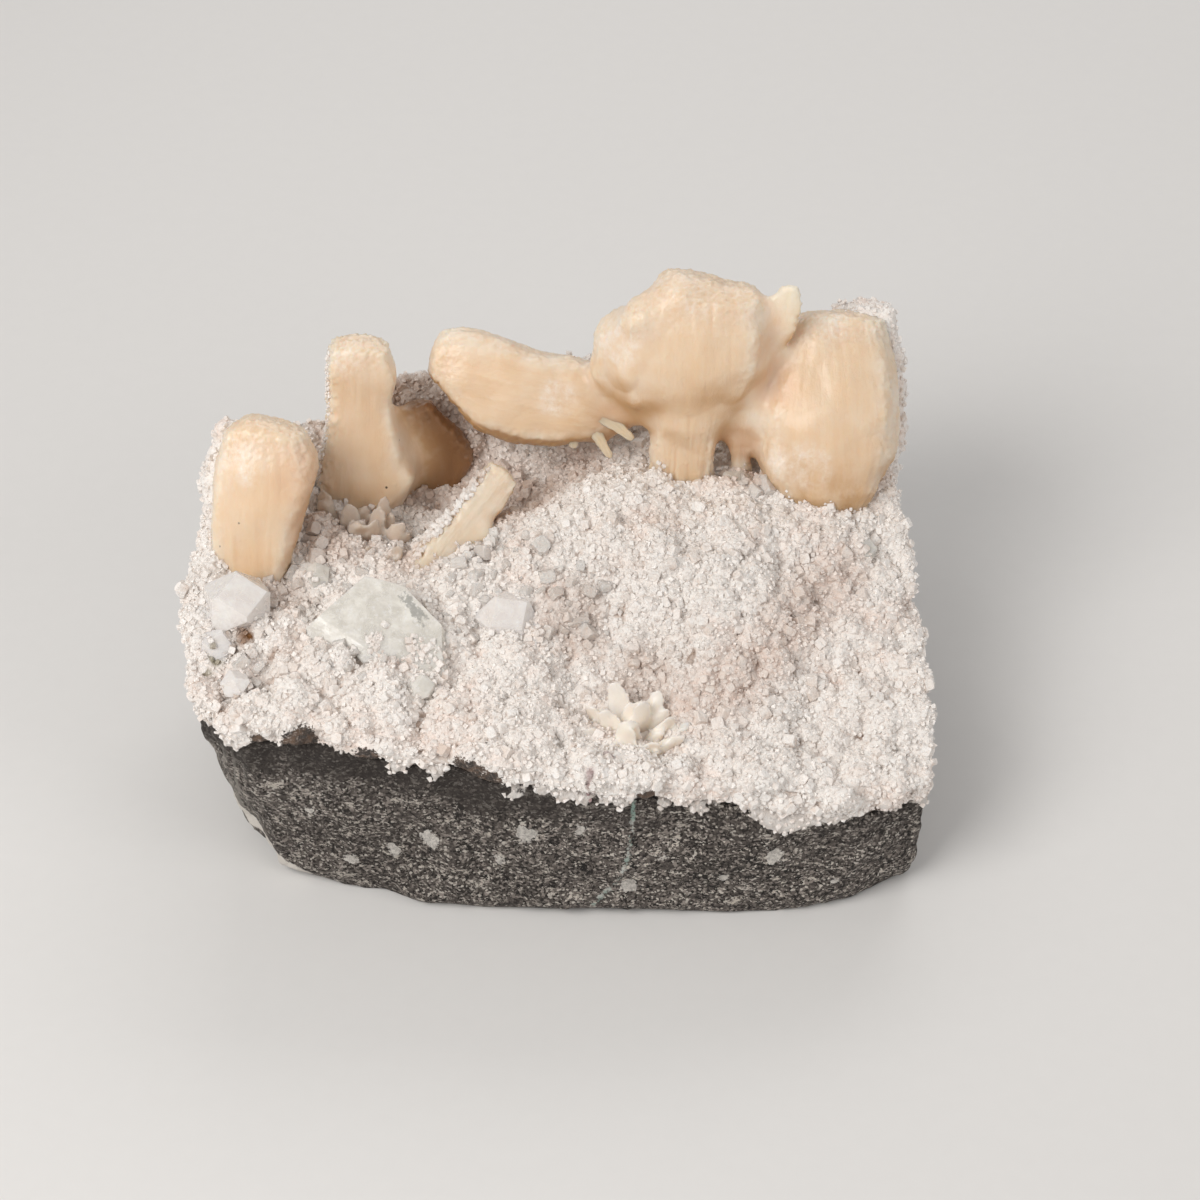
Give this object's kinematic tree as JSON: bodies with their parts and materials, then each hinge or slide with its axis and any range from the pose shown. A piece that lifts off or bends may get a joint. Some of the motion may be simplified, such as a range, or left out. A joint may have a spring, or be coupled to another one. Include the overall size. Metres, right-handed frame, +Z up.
{
  "type": "apophyllite cluster",
  "caption": "Loose mineral specimen: peach stilbite sheaves and pale apophyllite crystals on a white drusy crust that lines the hollowed top of a broken block of dark basalt.",
  "frame": {"origin": "below the middle of the specimen's bounding box, on the flat base it rests on", "axes": "+X along the long side towards the large round sheaf, +Y to the back wall of the pocket, -Y to the broken front, +Z up"},
  "size_m": [0.108, 0.0851, 0.0687],
  "materials": {
    "basalt": "rough broken basalt with fine pale and dark speckle",
    "druse": "sparkling crust of small pale crystals with brownish crevices",
    "stilbite": "pearly, translucent, finely ribbed",
    "apophyllite": "glassy, milky to clear, flat faces"
  },
  "bodies": {
    "root": {"basalt_matrix": "basalt", "druse_crust": "druse", "stilbite_sheaf_left": "stilbite", "stilbite_sheaf_tall": "stilbite", "stilbite_right_cluster": "stilbite", "stilbite_small_sheaf": "stilbite", "stilbite_rosette": "stilbite", "stilbite_blades": "stilbite", "apophyllite_main": "apophyllite", "apophyllite_left": "apophyllite", "apophyllite_centre": "apophyllite", "apophyllite_right": "apophyllite", "apophyllite_far_right": "apophyllite", "apophyllite_by_left_sheaf": "apophyllite", "apophyllite_front_left": "apophyllite", "apophyllite_middle": "apophyllite", "apophyllite_crest": "apophyllite"}
  },
  "joints": []
}
